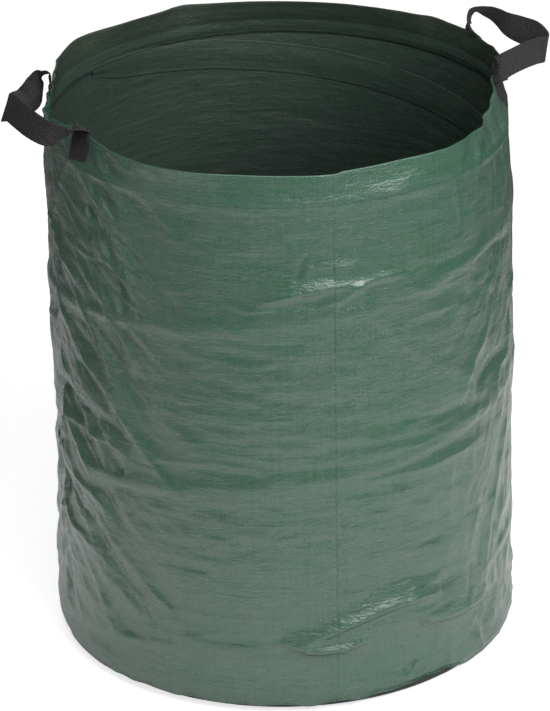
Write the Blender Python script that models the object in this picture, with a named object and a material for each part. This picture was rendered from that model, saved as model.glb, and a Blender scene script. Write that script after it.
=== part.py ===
"""Pop-up leaf bag: a round bag of woven plastic sheet, held open by a sprung wire coil, with two webbing handles.

Metres, +Z up. The bag stands on the floor at z = 0 with its axis on Z. The right handle is on +X, the left
handle on -X, and the lapped side seam of the wall on -Y.
"""

import math

import bpy
from mathutils import Vector

# Bag: sizes over the outside of the sheet
bag_diameter = 0.670
bag_height = 0.850
sheet_thickness = 0.0012
bottom_corner_radius = 0.028
clearance = 0.0003

# Hem round the mouth: its depth outside, and how much further its inner layer reaches down
hem_depth = 0.050
hem_tail = 0.006

# Side seam, where the two edges of the wall sheet lie over each other
seam_angle = math.radians(-93)
lap_width = 0.024
lap_step = 0.004
lap_edge_gap = 0.001

# Lower edge of the wall, measured down the rounded corner from the level of the corner's centre
wall_edge_angle = math.radians(50)
panel_emerges_angle = math.radians(60)

# Wire of the coil and of the two hoops, and the tunnels of sheet that hold it
wire_diameter = 0.0035
coil_turns = 3
coil_start_facet = 14
coil_bare_facets = 4
sleeve_flange = 0.006
sleeve_short_flange = 0.002
sleeve_edge_margin = 0.001
hoop_bare_facets = 3

# Metal fittings that close the hoops and fix the coil's ends to them
crimp_length = 0.024
crimp_wall = 0.0009
hoop_end_gap = 0.001

# Webbing handles
webbing_width = 0.040
webbing_thickness = 0.0020
strap_half_angle = math.radians(16)
strap_above_rim = 0.005
strap_above_hem_edge = 0.005
strap_corner = 0.003

# Routes of the handles' middle lines from back to front at rest, as shares of each handle's reach, of half the
# distance between its sewn ends and of its rise, then how far the webbing has turned from flat (0) to on edge (1)
right_reach = 0.090
right_rise = 0.042
right_route_shares = (
    (0.00, 1.00, 0.00, 0.00),
    (0.01, 0.99, 0.40, 0.00),
    (0.04, 0.97, 0.79, 0.02),
    (0.15, 0.90, 1.00, 0.15),
    (0.36, 0.71, 0.88, 0.45),
    (0.60, 0.48, 0.60, 0.75),
    (0.85, 0.20, 0.38, 0.95),
    (0.99, -0.06, 0.20, 1.00),
    (0.74, -0.40, 0.24, 0.90),
    (0.44, -0.70, 0.40, 0.60),
    (0.20, -0.90, 0.52, 0.20),
    (0.04, -0.98, 0.32, 0.00),
    (0.00, -1.00, 0.00, 0.00),
)
left_reach = 0.080
left_rise = 0.020
left_route_shares = (
    (0.00, -1.00, 0.00, 0.00),
    (0.01, -0.99, 0.50, 0.00),
    (0.10, -0.95, 0.90, 0.10),
    (0.33, -0.84, 1.00, 0.30),
    (0.55, -0.65, 0.60, 0.60),
    (0.78, -0.38, 0.20, 0.85),
    (0.99, -0.05, 0.10, 1.00),
    (0.95, 0.27, -0.05, 1.00),
    (0.76, 0.54, -0.05, 0.85),
    (0.50, 0.75, 0.25, 0.50),
    (0.24, 0.91, 0.70, 0.15),
    (0.05, 0.98, 0.60, 0.00),
    (0.00, 1.00, 0.00, 0.00),
)
handle_tip_reach_share = 0.9
handle_tip_thickness_share = 0.35
handle_steps_per_span = 3

# Sewing thread
thread_width = 0.0012
thread_height = 0.0007
seam_row_spacing = 0.010
seam_thread_margin = 0.006
stitch_edge_margin = 0.006
stitch_line_width = 0.0016
hem_thread_above_edge = 0.0022
bottom_thread_angle = math.radians(38)

# Facets of every ring and coil turn, so that nested layers stay parallel
ring_segments = 36
tube_resolution = 1
crimp_bend_segments = 5
corner_steps = 4
crease_angle = math.radians(32)

# Worked out from the sizes above
ring_step = math.tau / ring_segments
outer_radius = bag_diameter / 2
wall_inner_radius = outer_radius - sheet_thickness
lined_radius = wall_inner_radius - clearance - sheet_thickness
wire_radius = wire_diameter / 2
wire_ring_radius = lined_radius - clearance - sheet_thickness - wire_radius
wire_pitch = wire_diameter + clearance
tunnel_bore = wire_radius + clearance
tunnel_half_height = tunnel_bore + sheet_thickness
corner_centre_radius = outer_radius - bottom_corner_radius
layer_offset = sheet_thickness + clearance

hem_edge_height = bag_height - hem_depth
hem_tail_height = hem_edge_height - hem_tail
rim_hoop_height = hem_tail_height + sleeve_edge_margin + sleeve_flange + tunnel_half_height
base_hoop_height = bottom_corner_radius + sleeve_short_flange + tunnel_half_height
skirt_height = base_hoop_height + tunnel_half_height + sleeve_flange + sleeve_edge_margin
coil_bottom_height = base_hoop_height + wire_pitch
coil_top_height = rim_hoop_height - wire_pitch

strap_middle_radius = outer_radius + clearance + webbing_thickness / 2
strap_bottom_height = hem_edge_height + strap_above_hem_edge
strap_top_height = bag_height + strap_above_rim
hinge_height = strap_top_height + clearance + webbing_thickness / 2


def clear_scene():
    for item in list(bpy.data.objects):
        bpy.data.objects.remove(item, do_unlink=True)


def make_material(name, colour, roughness, metallic):
    material = bpy.data.materials.new(name)
    material.use_nodes = True
    shader = material.node_tree.nodes["Principled BSDF"]
    shader.inputs["Base Color"].default_value = (*colour, 1)
    shader.inputs["Roughness"].default_value = roughness
    shader.inputs["Metallic"].default_value = metallic
    material.diffuse_color = (*colour, 1)
    return material


def facet_radius(angle, corner_radius):
    """Distance from the axis, at this angle, of a ring whose corners lie at corner_radius."""
    from_middle = angle % ring_step - ring_step / 2
    return corner_radius * math.cos(ring_step / 2) / math.cos(from_middle)


def ring_point(angle, corner_radius, height):
    radius = facet_radius(angle, corner_radius)
    return Vector((radius * math.cos(angle), radius * math.sin(angle), height))


def facet_middle(facet):
    return (facet + 1 / 2) * ring_step


def angles_between(start, end):
    """The two angles, and each corner of the ring that lies between them."""
    first = math.floor(start / ring_step) + 1
    last = math.ceil(end / ring_step) - 1
    return [start, *(corner * ring_step for corner in range(first, last + 1)), end]


def new_object(name, vertices, faces, material, parent, smooth_angle=None):
    mesh = bpy.data.meshes.new(name)
    mesh.from_pydata([tuple(vertex) for vertex in vertices], [], faces)
    mesh.materials.append(material)
    if smooth_angle is not None:
        mesh.shade_smooth()
        mesh.set_sharp_from_angle(angle=smooth_angle)
    mesh.update()
    item = bpy.data.objects.new(name, mesh)
    bpy.context.collection.objects.link(item)
    item.parent = parent
    return item


def loft(name, sections, material, parent, closed=False):
    """A closed solid through equal sections, each an outline that runs the same way round."""
    count = len(sections[0])
    vertices = [point for section in sections for point in section]
    faces = []
    spans = len(sections) if closed else len(sections) - 1
    for span in range(spans):
        here = span * count
        there = (span + 1) % len(sections) * count
        for point in range(count):
            after = (point + 1) % count
            faces.append((here + point, there + point, there + after, here + after))
    if not closed:
        last = (len(sections) - 1) * count
        faces.append(tuple(range(count)))
        faces.append(tuple(last + point for point in reversed(range(count))))
    return new_object(name, vertices, faces, material, parent, crease_angle)


def turned(name, profile, material, parent):
    """A solid of revolution in ring facets, from a profile that starts and ends on the axis."""
    rings = profile[1:-1]
    vertices = [Vector((0, 0, profile[0][1]))]
    for radius, height in rings:
        vertices += [ring_point(corner * ring_step, radius, height) for corner in range(ring_segments)]
    vertices.append(Vector((0, 0, profile[-1][1])))
    end = len(vertices) - 1
    last = 1 + (len(rings) - 1) * ring_segments
    faces = []
    for corner in range(ring_segments):
        after = (corner + 1) % ring_segments
        faces.append((0, 1 + after, 1 + corner))
        faces.append((end, last + corner, last + after))
        for ring in range(len(rings) - 1):
            low = 1 + ring * ring_segments
            high = low + ring_segments
            faces.append((low + corner, low + after, high + after, high + corner))
    return new_object(name, vertices, faces, material, parent, crease_angle)


def wire(name, points, material, parent):
    """A round wire through the points, with flat closed ends."""
    curve = bpy.data.curves.new(name, "CURVE")
    curve.dimensions = "3D"
    curve.bevel_depth = wire_radius
    curve.bevel_resolution = tube_resolution
    curve.use_fill_caps = True
    curve.render_resolution_u = 0
    spline = curve.splines.new("POLY")
    spline.points.add(len(points) - 1)
    for target, point in zip(spline.points, points):
        target.co = (*point, 1)
    curve.materials.append(material)
    item = bpy.data.objects.new(name, curve)
    bpy.context.collection.objects.link(item)
    item.parent = parent
    return item


def corner_arc_point(angle, radius):
    """Radius and height of a point on the rounded bottom corner, at an angle below its centre's level."""
    return (
        corner_centre_radius + radius * math.cos(angle),
        bottom_corner_radius - radius * math.sin(angle),
    )


def make_bottom_panel(material, parent):
    """The round bottom, its rounded edge tucked inside the wall's lower edge and turned up as a short skirt."""
    tucked_radius = bottom_corner_radius - layer_offset
    outside = [(math.radians(90), bottom_corner_radius), (panel_emerges_angle, tucked_radius)]
    outside += [(panel_emerges_angle * (corner_steps - step) / corner_steps, tucked_radius)
                for step in range(1, corner_steps + 1)]
    under = [corner_arc_point(angle, radius) for angle, radius in outside]
    over = [corner_arc_point(angle, radius - sheet_thickness) for angle, radius in reversed(outside)]
    skirt_outer = wall_inner_radius - clearance
    profile = [(0, 0), *under, (skirt_outer, skirt_height), (skirt_outer - sheet_thickness, skirt_height)]
    profile += [*over, (0, sheet_thickness)]
    return turned("bottom_panel", profile, material, parent)


def wall_outline(angle, lift):
    """The wall sheet's cut edge at one angle, lifted off the round by lift where it laps over itself."""
    arc = [wall_edge_angle * (corner_steps - step) / corner_steps for step in range(corner_steps + 1)]
    outer = [corner_arc_point(below, bottom_corner_radius + lift) for below in arc]
    inner = [corner_arc_point(below, bottom_corner_radius + lift - sheet_thickness) for below in arc]
    top = hem_edge_height - clearance
    profile = [*outer, (outer_radius + lift, top), (wall_inner_radius + lift, top), *reversed(inner)]
    return [ring_point(angle, radius, height) for radius, height in profile]


def make_wall(material, parent):
    """One sheet rolled into a tube, its second edge lapped over the outside of its first."""
    half_lap = lap_width / 2 / outer_radius
    first_edge = seam_angle - half_lap
    lapped_from = first_edge + math.tau - lap_edge_gap / outer_radius
    steps_out_from = lapped_from - lap_step / outer_radius
    last_edge = seam_angle + half_lap + math.tau
    stations = [(angle, 0) for angle in angles_between(first_edge, steps_out_from)]
    stations += [(angle, layer_offset) for angle in angles_between(lapped_from, last_edge)]
    sections = [wall_outline(angle, lift) for angle, lift in stations]
    return loft("wall_panel", sections, material, parent)


def make_rim_hem(material, parent):
    """The sheet folded down inside itself round the mouth."""
    fold_radius = sheet_thickness + clearance / 2
    fold_middle = outer_radius - fold_radius
    fold_height = bag_height - fold_radius
    outline = [(outer_radius, hem_edge_height)]
    for step in range(corner_steps + 1):
        turn = math.pi * step / corner_steps
        outline.append((fold_middle + fold_radius * math.cos(turn), fold_height + fold_radius * math.sin(turn)))
    outline += [
        (fold_middle - fold_radius, hem_tail_height),
        (fold_middle - clearance / 2, hem_tail_height),
        (fold_middle - clearance / 2, fold_height),
        (fold_middle + clearance / 2, fold_height),
        (fold_middle + clearance / 2, hem_edge_height),
    ]
    sections = [[ring_point(corner * ring_step, radius, height) for radius, height in outline]
                for corner in range(ring_segments)]
    return loft("rim_hem", sections, material, parent, closed=True)


def tunnel_outline(back_radius, above, below):
    """A strip sewn flat along both edges and arched over the wire between them, in radius and height."""
    face = back_radius - clearance - wire_ring_radius
    sewn = face - sheet_thickness
    half_bore = tunnel_bore / 2
    half_arch = tunnel_half_height / 2
    upper = tunnel_half_height + above
    lower = -tunnel_half_height - below
    return [
        (face, upper), (face, tunnel_bore), (0, tunnel_bore), (-tunnel_bore, half_bore),
        (-tunnel_bore, -half_bore), (0, -tunnel_bore), (face, -tunnel_bore), (face, lower),
        (sewn, lower), (sewn, -tunnel_half_height), (0, -tunnel_half_height),
        (-tunnel_half_height, -half_arch), (-tunnel_half_height, half_arch), (0, tunnel_half_height),
        (sewn, tunnel_half_height), (sewn, upper),
    ]


def make_tunnel(name, stations, outline, material, parent):
    """A tunnel strip along stations, each an angle and a height of the wire's middle line."""
    sections = [[ring_point(angle, wire_ring_radius + across, height + up) for across, up in reversed(outline)]
                for angle, height in stations]
    return loft(name, sections, material, parent)


def make_hoop_tunnel(name, height, corners, above, below, material, parent):
    """A tunnel along a hoop between two corners, open where the hoop is closed and the coil joins it."""
    start, end = (corner * ring_step for corner in corners)
    stations = [(angle, height) for angle in angles_between(start, end)]
    return make_tunnel(name, stations, tunnel_outline(lined_radius, above, below), material, parent)


def make_hoop(name, height, facet, material, parent):
    """A hoop of wire, its two ends meeting inside a ferrule in the middle of one facet."""
    half_gap = hoop_end_gap / 2 / outer_radius
    start = facet_middle(facet) + half_gap
    end = facet_middle(facet) + math.tau - half_gap
    points = [ring_point(angle, wire_ring_radius, height) for angle in angles_between(start, end)]
    return wire(name, points, material, parent)


def coil_stations():
    """Angle and height of each corner of the coil: level along its first and last facets, climbing between."""
    facets = coil_turns * ring_segments + 1
    climb = (coil_top_height - coil_bottom_height) / (facets - 2)
    stations = []
    for corner in range(facets + 1):
        climbed = min(max(corner - 1, 0), facets - 2)
        stations.append(((coil_start_facet + corner) * ring_step, coil_bottom_height + climbed * climb))
    return stations


def coil_length(points):
    return sum((after - before).length for before, after in zip(points, points[1:]))


def make_coil(material, parent):
    points = [ring_point(angle, wire_ring_radius, height) for angle, height in coil_stations()]
    turn_gap = min(
        (upper - lower).length - wire_diameter for lower, upper in zip(points, points[ring_segments:])
    )
    print(f"coil_spring: {coil_length(points):.3f} m of wire, least gap to itself {turn_gap * 1000:.1f} mm")
    return wire("coil_spring", points, material, parent)


def make_coil_tunnel(material, parent):
    stations = coil_stations()[coil_bare_facets:-coil_bare_facets]
    outline = tunnel_outline(wall_inner_radius, sleeve_flange, sleeve_flange)
    return make_tunnel("coil_sleeve", stations, outline, material, parent)


def make_crimp(name, facet, height, wires, material, parent):
    """A short metal tube round one wire, or round two that lie one above the other."""
    half_rise = (wires - 1) * wire_pitch / 2
    sections = []
    for side, turn_from in ((1, 0), (-1, math.pi)):
        for step in range(crimp_bend_segments + 1):
            turn = turn_from + math.pi * step / crimp_bend_segments
            if half_rise == 0 and step == crimp_bend_segments:
                continue
            out = Vector((math.cos(turn), 0, math.sin(turn)))
            middle = Vector((0, 0, side * half_rise))
            along = Vector((0, crimp_length / 2, 0))
            inside = middle + out * tunnel_bore / math.cos(math.pi / crimp_bend_segments / 2)
            outside = inside + out * crimp_wall
            sections.append([inside + along, outside + along, outside - along, inside - along])
    crimp = loft(name, sections, material, parent, closed=True)
    angle = facet_middle(facet)
    radius = facet_radius(angle, wire_ring_radius)
    crimp.location = (radius * math.cos(angle), radius * math.sin(angle), height)
    crimp.rotation_euler = (0, 0, angle)
    return crimp


def make_strap_end(name, angle, material, parent):
    """The sewn end of a handle: webbing flat on the outside of the hem, its lower corners cut off."""
    half_angle = webbing_width / 2 / outer_radius
    cut_angle = half_angle - strap_corner / outer_radius
    stations = []
    for offset in angles_between(angle - half_angle, angle + half_angle):
        stations.append((offset, strap_bottom_height))
    stations[0] = (angle - half_angle, strap_bottom_height + strap_corner)
    stations[-1] = (angle + half_angle, strap_bottom_height + strap_corner)
    stations += [(angle - cut_angle, strap_bottom_height), (angle + cut_angle, strap_bottom_height)]
    stations.sort()
    back = outer_radius + clearance
    front = back + webbing_thickness
    sections = [[ring_point(at, back, low), ring_point(at, front, low), ring_point(at, front, strap_top_height),
                 ring_point(at, back, strap_top_height)] for at, low in stations]
    return loft(name, sections, material, parent)


def make_box_stitch(name, angle, material, parent):
    """Thread sewn in a square with a cross inside it, on the face of a strap end."""
    half_width = webbing_width / 2 - stitch_edge_margin
    low = strap_bottom_height + stitch_edge_margin
    high = bag_height - stitch_edge_margin
    middle = (low + high) / 2
    half_height = (high - low) / 2
    line = stitch_line_width
    slant = line * math.hypot(half_width, half_height) / half_height / 2
    rise = line * math.hypot(half_width, half_height) / half_width / 2
    inner_width = half_width - line
    inner_height = half_height - line
    outline = [(-half_width, -half_height), (half_width, -half_height), (half_width, half_height),
               (-half_width, half_height)]
    lower = [(-inner_width + slant, -inner_height), (inner_width - slant, -inner_height), (0, -rise)]
    right = [(inner_width, -inner_height + rise), (inner_width, inner_height - rise), (slant, 0)]
    upper = [(-across, -up) for across, up in lower]
    left = [(-across, -up) for across, up in right]
    flat = [*outline, *lower, *right, *upper, *left]
    holes = 4
    corners = len(outline)
    faces = []
    for side in range(holes):
        after = (side + 1) % holes
        before = (side - 1) % holes
        start, end, tip = (corners + 3 * side + place for place in range(3))
        last_end = corners + 3 * before + 1
        last_tip = corners + 3 * before + 2
        faces.append((side, after, end, start))
        faces.append((side, start, last_end))
        faces.append((start, tip, last_tip, last_end))
    faces.append(tuple(corners + 3 * side + 2 for side in range(holes)))
    back = strap_middle_radius + webbing_thickness / 2 + clearance
    vertices = []
    for depth in (back, back + thread_height):
        for across, up in flat:
            vertices.append(ring_point(angle + across / outer_radius, depth, middle + up))
    count = len(flat)
    solid = [tuple(reversed(face)) for face in faces]
    solid += [tuple(count + corner for corner in face) for face in faces]
    for side in range(holes):
        after = (side + 1) % holes
        solid.append((side, after, count + after, count + side))
        start, end, tip = (corners + 3 * side + place for place in range(3))
        for one, other in ((start, end), (end, tip), (tip, start)):
            solid.append((other, one, count + one, count + other))
    return new_object(name, vertices, solid, material, parent)


def make_thread_ring(name, radius, height, facing, material, parent):
    """A row of stitches round the bag, its face turned down from level by facing."""
    outward = (math.cos(facing), -math.sin(facing))
    along = (math.sin(facing), math.cos(facing))
    outline = []
    for out, up in ((0, -1), (1, -1), (1, 1), (0, 1)):
        outline.append((
            radius + outward[0] * out * thread_height + along[0] * up * thread_width / 2,
            height + outward[1] * out * thread_height + along[1] * up * thread_width / 2,
        ))
    sections = [[ring_point(corner * ring_step, at, up) for at, up in outline]
                for corner in range(ring_segments)]
    return loft(name, sections, material, parent, closed=True)


def make_seam_thread(name, side, material, parent):
    """One of the two rows of stitches down the lapped side seam."""
    middle = seam_angle + side * seam_row_spacing / 2 / outer_radius
    half_width = thread_width / 2 / outer_radius
    back = outer_radius + layer_offset + clearance
    low = bottom_corner_radius
    high = hem_edge_height - seam_thread_margin
    sections = [[ring_point(at, back, low), ring_point(at, back + thread_height, low),
                 ring_point(at, back + thread_height, high), ring_point(at, back, high)]
                for at in angles_between(middle - half_width, middle + half_width)]
    return loft(name, sections, material, parent)


def smooth_route(controls):
    """Points of a smooth curve through the controls, with a whole number of steps between neighbours."""
    padded = [controls[0] * 2 - controls[1], *controls, controls[-1] * 2 - controls[-2]]
    points = []
    for span in range(len(controls) - 1):
        before, start, end, after = padded[span:span + 4]
        for step in range(handle_steps_per_span):
            share = step / handle_steps_per_span
            points.append((
                start * 2
                + (end - before) * share
                + (before * 2 - start * 5 + end * 4 - after) * share ** 2
                + (start * 3 - before - end * 3 + after) * share ** 3
            ) / 2)
    return [*points, controls[-1]]


def band_section(middle, across, normal, thickness):
    half_wide = across * webbing_width / 2
    half_thick = normal * thickness / 2
    return [middle - half_wide - half_thick, middle - half_wide + half_thick,
            middle + half_wide + half_thick, middle + half_wide - half_thick]


def make_handle(name, pivot, shares, reach, rise, material):
    """A webbing loop in its pivot's frame: local X outwards, local Y along its hinge line, Z up. Its ends are
    rounded over about the hinge line, so that they turn close above the sewn ends."""
    half_span = strap_middle_radius * math.sin(strap_half_angle)
    controls = [Vector((out * reach, along * half_span, up * rise, turned_share))
                for out, along, up, turned_share in shares]
    route = smooth_route(controls)
    last = len(route) - 1
    flat_way = Vector((0, math.copysign(1, shares[0][1]), 0))
    sections = []
    for index, place in enumerate(route):
        point = Vector(place[:3])
        ahead = Vector(route[min(index + 1, last)][:3]) - Vector(route[max(index - 1, 0)][:3])
        if index in (0, last):
            ahead.y = 0
        ahead.normalize()
        turn = min(max(place[3], 0), 1)
        flat = flat_way if index < last / 2 else -flat_way
        across = flat * (1 - turn) + Vector((0, 0, 1)) * turn
        across = (across - ahead * across.dot(ahead)).normalized()
        normal = ahead.cross(across)
        sections.append(band_section(point, across, normal, webbing_thickness))
        if index in (0, last):
            tip_reach = ahead * webbing_thickness / 2 * handle_tip_reach_share
            tip_thickness = webbing_thickness * handle_tip_thickness_share
            if index == 0:
                sections.insert(0, band_section(point - tip_reach, across, normal, tip_thickness))
            else:
                sections.append(band_section(point + tip_reach, across, normal, tip_thickness))
    return loft(name, sections, material, pivot)


def make_pivot(name, outward):
    """An empty on a handle's hinge line, half way between its sewn ends, turned so that its X points outwards."""
    pivot = bpy.data.objects.new(name, None)
    bpy.context.collection.objects.link(pivot)
    pivot.location = (outward * strap_middle_radius * math.cos(strap_half_angle), 0, hinge_height)
    pivot.rotation_euler = (0, 0, 0 if outward > 0 else math.pi)
    return pivot


def make_carrier(name):
    carrier = bpy.data.objects.new(name, None)
    bpy.context.collection.objects.link(carrier)
    return carrier


def main():
    clear_scene()
    green = make_material("woven_plastic_green", (0.045, 0.155, 0.09), 0.42, 0)
    dark_green = make_material("woven_plastic_dark_green", (0.03, 0.11, 0.065), 0.5, 0)
    hem_green = make_material("woven_plastic_hem_green", (0.06, 0.19, 0.115), 0.4, 0)
    black = make_material("webbing_black", (0.018, 0.018, 0.02), 0.85, 0)
    steel = make_material("spring_steel", (0.42, 0.43, 0.44), 0.3, 1)
    zinc = make_material("zinc_plated_steel", (0.62, 0.63, 0.64), 0.35, 1)
    green_thread = make_material("sewing_thread_green", (0.05, 0.17, 0.1), 0.7, 0)
    black_thread = make_material("sewing_thread_black", (0.03, 0.03, 0.032), 0.7, 0)

    base = make_carrier("base_carrier")
    rim = make_carrier("rim_carrier")

    make_bottom_panel(dark_green, base)
    make_wall(green, base)
    base_closing = coil_start_facet - 1
    make_hoop("base_hoop", base_hoop_height, base_closing, steel, base)
    base_covered = (coil_start_facet + hoop_bare_facets, base_closing + ring_segments)
    make_hoop_tunnel(
        "base_hoop_sleeve", base_hoop_height, base_covered, sleeve_flange, sleeve_short_flange, dark_green, base
    )
    make_crimp("base_hoop_ferrule", base_closing, base_hoop_height, 1, zinc, base)
    make_coil(steel, base)
    make_coil_tunnel(dark_green, base)
    make_crimp("coil_lower_crimp", coil_start_facet, base_hoop_height + wire_pitch / 2, 2, zinc, base)
    make_seam_thread("side_seam_thread_left", -1, green_thread, base)
    make_seam_thread("side_seam_thread_right", 1, green_thread, base)
    thread_arc = bottom_corner_radius + layer_offset + clearance
    thread_radius, thread_height_at = corner_arc_point(bottom_thread_angle, thread_arc)
    make_thread_ring("bottom_seam_thread", thread_radius, thread_height_at, bottom_thread_angle, green_thread, base)

    make_rim_hem(hem_green, rim)
    rim_closing = coil_start_facet + 1
    make_hoop("rim_hoop", rim_hoop_height, rim_closing, steel, rim)
    rim_covered = (rim_closing + 1, rim_closing - hoop_bare_facets + ring_segments)
    make_hoop_tunnel(
        "rim_hoop_sleeve", rim_hoop_height, rim_covered, sleeve_flange, sleeve_flange, dark_green, rim
    )
    make_crimp("rim_hoop_ferrule", rim_closing, rim_hoop_height, 1, zinc, rim)
    make_crimp("coil_upper_crimp", coil_start_facet, rim_hoop_height - wire_pitch / 2, 2, zinc, rim)
    make_thread_ring(
        "hem_seam_thread", outer_radius + clearance, hem_edge_height + hem_thread_above_edge, 0, green_thread, rim
    )
    for handle, middle in (("left", math.pi), ("right", 0)):
        for end, side in (("back", 1), ("front", -1)):
            angle = middle + side * math.cos(middle) * strap_half_angle
            make_strap_end(f"{handle}_handle_{end}_end", angle, black, rim)
            make_box_stitch(f"{handle}_handle_{end}_stitching", angle, black_thread, rim)

    right_pivot = make_pivot("right_handle_pivot", 1)
    left_pivot = make_pivot("left_handle_pivot", -1)
    make_handle("right_handle", right_pivot, right_route_shares, right_reach, right_rise, black)
    make_handle("left_handle", left_pivot, left_route_shares, left_reach, left_rise, black)


main()
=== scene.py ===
"""Looks of the pop-up leaf bag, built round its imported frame.

One grid of folds gives the sheet its shape, and every sheet, seam, wire and webbing end follows it."""

import math

import bpy
import numpy as np
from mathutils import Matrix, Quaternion, Vector


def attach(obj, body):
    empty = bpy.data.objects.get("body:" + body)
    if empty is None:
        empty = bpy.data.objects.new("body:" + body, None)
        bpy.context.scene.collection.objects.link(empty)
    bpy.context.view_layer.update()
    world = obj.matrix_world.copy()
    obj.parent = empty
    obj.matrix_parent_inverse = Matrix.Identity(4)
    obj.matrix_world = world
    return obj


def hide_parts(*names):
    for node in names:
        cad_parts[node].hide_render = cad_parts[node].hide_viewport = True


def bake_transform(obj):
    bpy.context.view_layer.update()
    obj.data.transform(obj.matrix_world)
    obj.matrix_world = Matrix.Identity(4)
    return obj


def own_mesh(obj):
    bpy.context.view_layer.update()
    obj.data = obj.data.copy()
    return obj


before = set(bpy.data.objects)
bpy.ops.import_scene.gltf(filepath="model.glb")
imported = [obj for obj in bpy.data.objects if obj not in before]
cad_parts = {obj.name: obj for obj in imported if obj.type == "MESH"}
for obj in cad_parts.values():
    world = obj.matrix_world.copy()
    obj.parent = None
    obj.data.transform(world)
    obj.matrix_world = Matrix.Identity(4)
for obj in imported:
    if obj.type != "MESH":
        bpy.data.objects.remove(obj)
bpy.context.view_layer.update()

# Sizes in metres, angles in degrees from +X, counter-clockwise seen from above.
RADIUS = 0.335
HEM_EDGE = 0.7997
RIM_TOP = 0.85
HEM_TAIL = 0.7935
# The hem's outer and inner layer are this far apart, and its round fold starts this far below the top.
HEM_GAP = 0.0030
HEM_FOLD = 0.0016
CORNER = 0.028
WALL_FOOT = 0.03705
SHEET = 0.0005
# The longest steps of the wall's grid, and the distance of an extra row or column from each cut edge.
COLUMN = 0.0030
ROW = 0.0030
NEAR_EDGE = 0.00015
# The side seam's lap: where it starts, how wide it is, how far the sheet sinks at its end and at its start.
SEAM_EDGE = 264.9
LAP = 0.024
LAP_STEP = 0.00055
LAP_SUNK = 0.0010
# Depths of a wire's and of a clamp's middle behind the sheet's outer face.
WIRE_DEPTH = 0.0024
CLAMP_DEPTH = 0.0036
WIRE = 0.00175
FERRULE = 0.0028
CRIMP = 0.0046
# A tunnel's flanges lie TUNNEL_OFF behind the outer face, and over its wire it stands TUNNEL_RISE further in.
TUNNEL_RISE = 0.0034
TUNNEL_OFF = 0.0009
# How far each tunnel's arch reaches to each side of its wire.
COIL_ARCH = 0.0220
RIM_HOOP_ARCH = 0.0200
BASE_HOOP_ARCH = 0.0125
# The coil climbs from COIL_LOW at the angle COIL_FIRST to COIL_HIGH, and turns COIL_TURN on its way.
COIL_FIRST = 150.0
COIL_LOW = 0.03705
COIL_HIGH = 0.80045
COIL_TURN = 1070.0
COIL_CLIMB = (COIL_HIGH - COIL_LOW) / COIL_TURN
RIM_HOOP_Z = 0.80425
BASE_HOOP_Z = 0.03325

# How far the mouth stands out from the round, and how far it sags, in mm, by angle.
RIM_OUT = [
    (14, 4.5), (25, 3.7), (31, 5), (35, -2), (40, -5), (47, -8.5), (60, -10), (75, -9), (88, -5),
    (93, -1), (97, 4), (100, 3), (104, -1.7), (112, -1.5), (118, 0.5), (123, 6), (128, 12),
    (132, 14), (138, 10), (146, 4), (150, 0), (154, -4.5), (160.5, -7.7), (164, -7), (167, 0),
    (171, 4.5), (178.5, 11.7), (182, 10.5), (186, 7), (188.5, 2), (190.5, -6), (193, -10),
    (196, -10), (199, -8), (202, -5), (208, 2), (215, 6.8), (225, 8.5), (234, 5), (243, -1),
    (254, -1), (263, 1.2), (269, -2), (277, -5), (284, -6.5), (291, -2), (298, 2.5), (304, 0),
    (310, -3), (316, -7), (324, -15), (331, -21), (337, -23), (344, -23), (348, -17),
    (352, -10), (359, 0),
]
RIM_SAG = [
    (0, 0), (30, -1), (50, -2), (70, -3), (88, -1.5), (100, 0), (110, -1.5), (130, -1),
    (160, 0), (178, -1.5), (186, 0), (190, 3), (192.5, 4.5), (196, 1), (199, 0), (240, 0),
    (262, -1), (266.5, -1.5), (268, 0.6), (290, 0), (330, 0),
]
# Slow swells of the wall: angle, height, spread in degrees, spread in metres, out in mm.
SWELLS = [
    (167, 0.73, 15, 0.10, 4.5), (165, 0.50, 12, 0.075, 5), (166, 0.335, 12, 0.045, -4),
    (165, 0.10, 15, 0.07, 2.5), (342, 0.80, 13, 0.05, -7.5), (341, 0.735, 12, 0.05, -3),
    (250, 0.50, 40, 0.10, 1.5), (285, 0.52, 18, 0.06, -2), (225, 0.52, 16, 0.07, -2.5),
    (236, 0.25, 22, 0.07, 2), (300, 0.27, 18, 0.06, -2), (70, 0.52, 30, 0.08, 2.5),
    (110, 0.28, 25, 0.08, 2.5), (30, 0.30, 22, 0.07, -3), (20, 0.62, 16, 0.07, -3),
    (135, 0.65, 14, 0.07, -3),
]
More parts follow.
